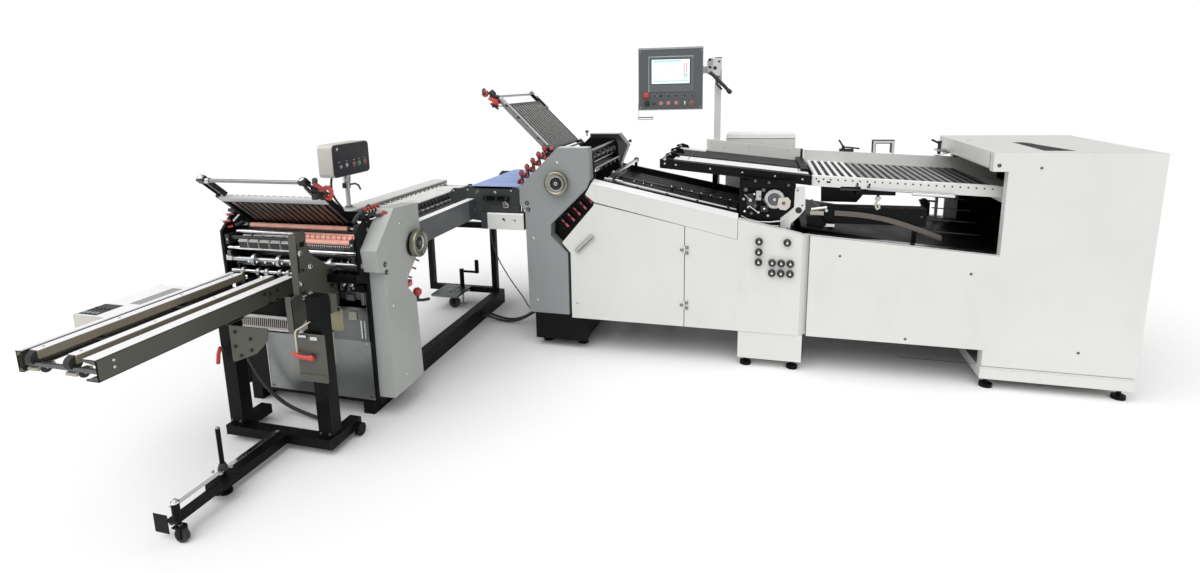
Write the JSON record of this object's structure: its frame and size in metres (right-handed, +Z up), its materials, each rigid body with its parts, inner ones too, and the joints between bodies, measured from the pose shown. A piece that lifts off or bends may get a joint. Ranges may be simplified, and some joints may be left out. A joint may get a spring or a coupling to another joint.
{
  "type": "paper folding machine",
  "caption": "Floor-standing combination paper folding machine with round-pile feeder, register table, buckle fold unit, cross table, second fold unit and belt delivery.",
  "frame": {"origin": "centre of the machine's bounding box on the floor", "axes": "+X along the run towards the feeder, +Y away from the operator's side, +Z up"},
  "size_m": [4.408, 3.215, 1.789],
  "materials": {
    "powder_white": "fine textured warm white powder coat",
    "unit_grey": "mid grey powder coat",
    "frame_black": "black satin paint",
    "stand_black": "black semi-gloss paint",
    "panel_grey": "dark grey hammered paint",
    "steel": "ground steel",
    "chrome": "polished chrome",
    "aluminium": "satin anodised",
    "cap_white": "smooth bright white",
    "champagne": "champagne anodised ring, black hub",
    "lever_red": "red moulded levers with black roots",
    "plastic_black": "matt black",
    "rubber_red": "salmon rubber",
    "rubber_black": "black rubber",
    "belt_blue": "blue exit belt; black wide belt; pale narrow belts",
    "olive_grey": "dark olive grey paint",
    "rail_bright": "bright steel top, beige sides",
    "button_red": "red mushroom cap",
    "cable_black": "black cable jacket"
  },
  "bodies": {
    "machine": {"feeder_near_panel": "powder_white", "feeder_far_panel": "powder_white", "feeder_end_panel": "powder_white", "feeder_bridge": "powder_white", "feeder_base": "powder_white", "levelling_feet": "plastic_black", "roller_table": "cap_white", "table_rollers": "steel", "belt_table": "frame_black", "conveyor_belts": "belt_blue", "lower_table": "frame_black", "feeder_head": "frame_black", "rear_cabinet": "powder_white", "main_frame": "frame_black", "knob_panel": "powder_white", "air_knobs": "plastic_black", "rear_panel": "powder_white", "register_table": "steel", "register_cap": "cap_white", "near_cover_1": "unit_grey", "far_cover_1": "unit_grey", "side_frames_1": "frame_black", "fold_plate_1": "steel", "plate_levers": "lever_red", "exit_conveyor": "panel_grey", "cross_table": "unit_grey", "stand_frame": "stand_black", "cover_2": "unit_grey", "side_frames_2": "frame_black", "fold_plate_2": "steel", "delivery_bed": "olive_grey", "delivery_rails": "rail_bright", "delivery_stand": "stand_black", "hmi_post": "unit_grey", "thin_cable": "cable_black", "power_cable": "cable_black", "power_cable_second": "cable_black", "delivery_hose": "cable_black"},
    "drum": {"suction_drum": "steel"},
    "top_turn_roller": {"turn_roller": "rubber_black"},
    "door": {"left_door": "powder_white"},
    "feed_train_1": {"feed_roller_1": "steel", "handwheel_1": "champagne"},
    "fold_train_1": {"fold_roller_1": "steel"},
    "plate_stop": {"plate_stop_1": "steel"},
    "stop_knob": {"stop_knob_1": "plastic_black"},
    "crank": {"jack_crank": "plastic_black"},
    "jack": {"jack_foot": "steel"},
    "stand_castor": {"stand_caster_fork": "stand_black"},
    "stand_castor_wheel": {"stand_caster_wheel": "rubber_black"},
    "feed_train_2": {"feed_roller_2": "rubber_red"},
    "fold_train_2": {"fold_roller_2": "steel", "handwheel_2": "champagne"},
    "slitter": {"slitter_shaft": "steel"},
    "control": {"control_box": "powder_white"},
    "front_castor": {"front_caster_fork": "unit_grey"},
    "front_castor_wheel": {"front_caster_wheel": "rubber_black"},
    "screen": {"hmi_box": "unit_grey"},
    "stop_button": {"emergency_stop": "button_red"}
  },
  "joints": [
    {"name": "drum_turn", "type": "hinge", "parent": "machine", "child": "drum", "pos_m": [0.535, 0.915, 0.936], "axis": [0, 1, 0], "continuous": true},
    {"name": "top_roller_turn", "type": "hinge", "parent": "machine", "child": "top_turn_roller", "pos_m": [1.821, 0.7325, 1.182], "axis": [0, 1, 0], "continuous": true},
    {"name": "door_swing", "type": "hinge", "parent": "machine", "child": "door", "pos_m": [0.068, 0.4075, 0.5], "axis": [0, 0, 1], "range_deg": [0, 110]},
    {"name": "feed_1_turn", "type": "hinge", "parent": "machine", "child": "feed_train_1", "pos_m": [-0.659, 0.8345, 1.015], "axis": [0, 1, 0], "continuous": true},
    {"name": "fold_1_turn", "type": "hinge", "parent": "machine", "child": "fold_train_1", "pos_m": [-0.62746, 0.8345, 0.98346], "axis": [0, 1, 0], "continuous": true},
    {"name": "stop_slide", "type": "slide", "parent": "machine", "child": "plate_stop", "axis": [-0.7071, 0, 0.7071], "range_m": [-0.27, 0.005]},
    {"name": "stop_knob_turn", "type": "hinge", "parent": "machine", "child": "stop_knob", "pos_m": [-1.07129, 0.5185, 1.51773], "axis": [-0.7071, 0, 0.7071], "range_deg": [-1630, 40]},
    {"name": "jack_lift", "type": "slide", "parent": "machine", "child": "jack", "axis": [0, 0, 1], "range_m": [0, 0.06]},
    {"name": "crank_turn", "type": "hinge", "parent": "machine", "child": "crank", "pos_m": [-1.621, 1.0525, 0.242], "axis": [0, 0, 1], "range_deg": [0, 1090]},
    {"name": "stand_castor_swivel", "type": "hinge", "parent": "machine", "child": "stand_castor", "pos_m": [-1.666, 0.9525, 0.1], "axis": [0, 0, 1], "continuous": true},
    {"name": "stand_castor_roll", "type": "hinge", "parent": "stand_castor", "child": "stand_castor_wheel", "pos_m": [-1.64, 0.9525, 0.04], "axis": [0, 1, 0], "continuous": true},
    {"name": "fold_2_turn", "type": "hinge", "parent": "machine", "child": "fold_train_2", "pos_m": [-1.666, -0.2985, 0.812], "axis": [1, 0, 0], "continuous": true},
    {"name": "feed_2_turn", "type": "hinge", "parent": "machine", "child": "feed_train_2", "pos_m": [-1.666, -0.5495, 0.932], "axis": [1, 0, 0], "continuous": true},
    {"name": "slitter_turn", "type": "hinge", "parent": "machine", "child": "slitter", "pos_m": [-1.666, -0.6175, 0.776], "axis": [1, 0, 0], "continuous": true},
    {"name": "control_swivel", "type": "hinge", "parent": "machine", "child": "control", "pos_m": [-1.851, 0.1125, 1.068], "axis": [0, 0, 1], "range_deg": [-60, 90]},
    {"name": "front_castor_swivel", "type": "hinge", "parent": "machine", "child": "front_castor", "pos_m": [-1.501, -1.5175, 0.1], "axis": [0, 0, 1], "continuous": true},
    {"name": "front_castor_roll", "type": "hinge", "parent": "front_castor", "child": "front_castor_wheel", "pos_m": [-1.488, -1.5175, 0.026], "axis": [0, 1, 0], "continuous": true},
    {"name": "screen_swivel", "type": "hinge", "parent": "machine", "child": "screen", "pos_m": [0.068, 1.3315, 1.64], "axis": [0, 0, 1], "range_deg": [-60, 15]},
    {"name": "stop_press", "type": "slide", "parent": "screen", "child": "stop_button", "axis": [-0.1633, 0.9866, 0], "range_m": [0, 0.005], "stiffness_N_per_m": 300}
  ],
  "couplings": [
    {"joint": "fold_1_turn", "follows": "feed_1_turn", "ratio": -1},
    {"joint": "stop_knob_turn", "follows": "stop_slide", "rad_per_m": 104.72},
    {"joint": "crank_turn", "follows": "jack_lift", "rad_per_m": 314.16},
    {"joint": "feed_2_turn", "follows": "fold_2_turn", "ratio": -1},
    {"joint": "slitter_turn", "follows": "fold_2_turn", "ratio": 1}
  ]
}
